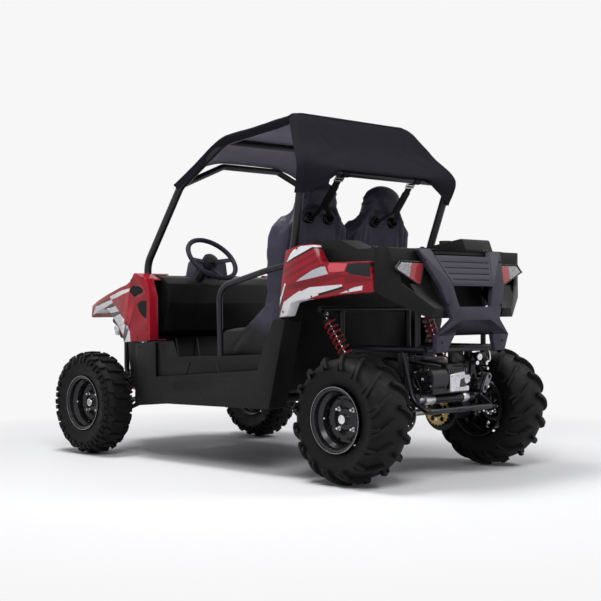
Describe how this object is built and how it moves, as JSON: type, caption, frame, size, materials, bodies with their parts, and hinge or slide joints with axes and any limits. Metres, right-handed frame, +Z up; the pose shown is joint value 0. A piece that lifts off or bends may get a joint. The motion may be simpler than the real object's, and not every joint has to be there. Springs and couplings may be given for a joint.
{
  "type": "side by side utility vehicle",
  "caption": "Small two-seat off-road side by side with roll cage, cloth canopy, cargo tray and rear engine; front wheels steer and all wheels turn.",
  "frame": {"origin": "on the ground, midway between the axles, on the centre line", "axes": "+X forwards, +Y to the left, +Z up"},
  "size_m": [2.375, 1.35, 1.6413],
  "materials": {
    "red_plastic": "gloss moulded",
    "black_plastic": "fine grain",
    "grey_plastic": "fine grain",
    "frame_paint": "satin",
    "cage_paint": "powder coat",
    "lamp_lens": "clear",
    "lamp_red": "clear lens",
    "seat_vinyl": "grained vinyl",
    "webbing": "woven",
    "canopy_cloth": "woven",
    "engine_alloy": "cast",
    "exhaust_steel": "satin",
    "spring_red": "gloss",
    "bare_steel": "turned",
    "grip": "matte",
    "rim_paint": "satin",
    "tyre": "moulded"
  },
  "bodies": {
    "chassis": {"frame": "frame_paint", "rear_hoop": "cage_paint", "cage_sides": "cage_paint", "cage_header": "cage_paint", "hip_bars": "cage_paint", "floor_pan": "black_plastic", "sill_left": "black_plastic", "sill_right": "black_plastic", "front_fender_left": "red_plastic", "front_fender_right": "red_plastic", "hood": "red_plastic", "front_liners": "black_plastic", "dashboard": "black_plastic", "grille": "black_plastic", "headlamps": "lamp_lens", "bumper_bars": "cage_paint", "rear_quarter_left": "red_plastic", "rear_quarter_right": "red_plastic", "rear_panels": "black_plastic", "tail_lamps": "lamp_red", "cargo_tray": "black_plastic", "tailgate": "grey_plastic", "rear_guard": "grey_plastic", "fuel_tank": "black_plastic", "seat_left": "seat_vinyl", "seat_right": "seat_vinyl", "harnesses": "webbing", "canopy": "canopy_cloth", "engine": "engine_alloy", "exhaust": "exhaust_steel", "swing_arm": "frame_paint", "rear_shocks": "spring_red", "front_arms": "frame_paint", "front_shocks": "spring_red"},
    "knuckle_left": {"knuckle_left": "bare_steel"},
    "knuckle_right": {"knuckle_right": "bare_steel"},
    "front_wheel_left": {"rim_front_left": "rim_paint", "tyre_front_left": "tyre"},
    "front_wheel_right": {"rim_front_right": "rim_paint", "tyre_front_right": "tyre"},
    "rear_wheels": {"rear_axle": "bare_steel", "rear_rims": "rim_paint", "rear_tyres": "tyre"},
    "steering_wheel": {"steering_wheel": "grip"},
    "steering_rack": {"steering_rack": "bare_steel"}
  },
  "joints": [
    {"name": "steer_left", "type": "hinge", "parent": "chassis", "child": "knuckle_left", "pos_m": [0.885, 0.52, 0.2665], "axis": [0, 0, 1], "range_deg": [-28, 28]},
    {"name": "steer_right", "type": "hinge", "parent": "chassis", "child": "knuckle_right", "pos_m": [0.885, -0.52, 0.2665], "axis": [0, 0, 1], "range_deg": [-28, 28]},
    {"name": "steering_wheel_turn", "type": "hinge", "parent": "chassis", "child": "steering_wheel", "pos_m": [0.353, 0.215, 1.008], "axis": [-0.7337, 0, 0.6794], "range_deg": [-252, 252]},
    {"name": "rack_slide", "type": "slide", "parent": "chassis", "child": "steering_rack", "axis": [0, 1, 0], "range_m": [-0.054, 0.054]},
    {"name": "front_wheel_left_spin", "type": "hinge", "parent": "knuckle_left", "child": "front_wheel_left", "pos_m": [0.885, 0.585, 0.2665], "axis": [0, 1, 0], "continuous": true},
    {"name": "front_wheel_right_spin", "type": "hinge", "parent": "knuckle_right", "child": "front_wheel_right", "pos_m": [0.885, -0.585, 0.2665], "axis": [0, 1, 0], "continuous": true},
    {"name": "rear_axle_spin", "type": "hinge", "parent": "chassis", "child": "rear_wheels", "pos_m": [-0.885, 0, 0.2795], "axis": [0, 1, 0], "continuous": true}
  ],
  "couplings": [
    {"joint": "steer_right", "follows": "steer_left", "ratio": 1},
    {"joint": "steering_wheel_turn", "follows": "steer_left", "ratio": 9},
    {"joint": "rack_slide", "follows": "steer_left", "m_per_rad": -0.11}
  ]
}
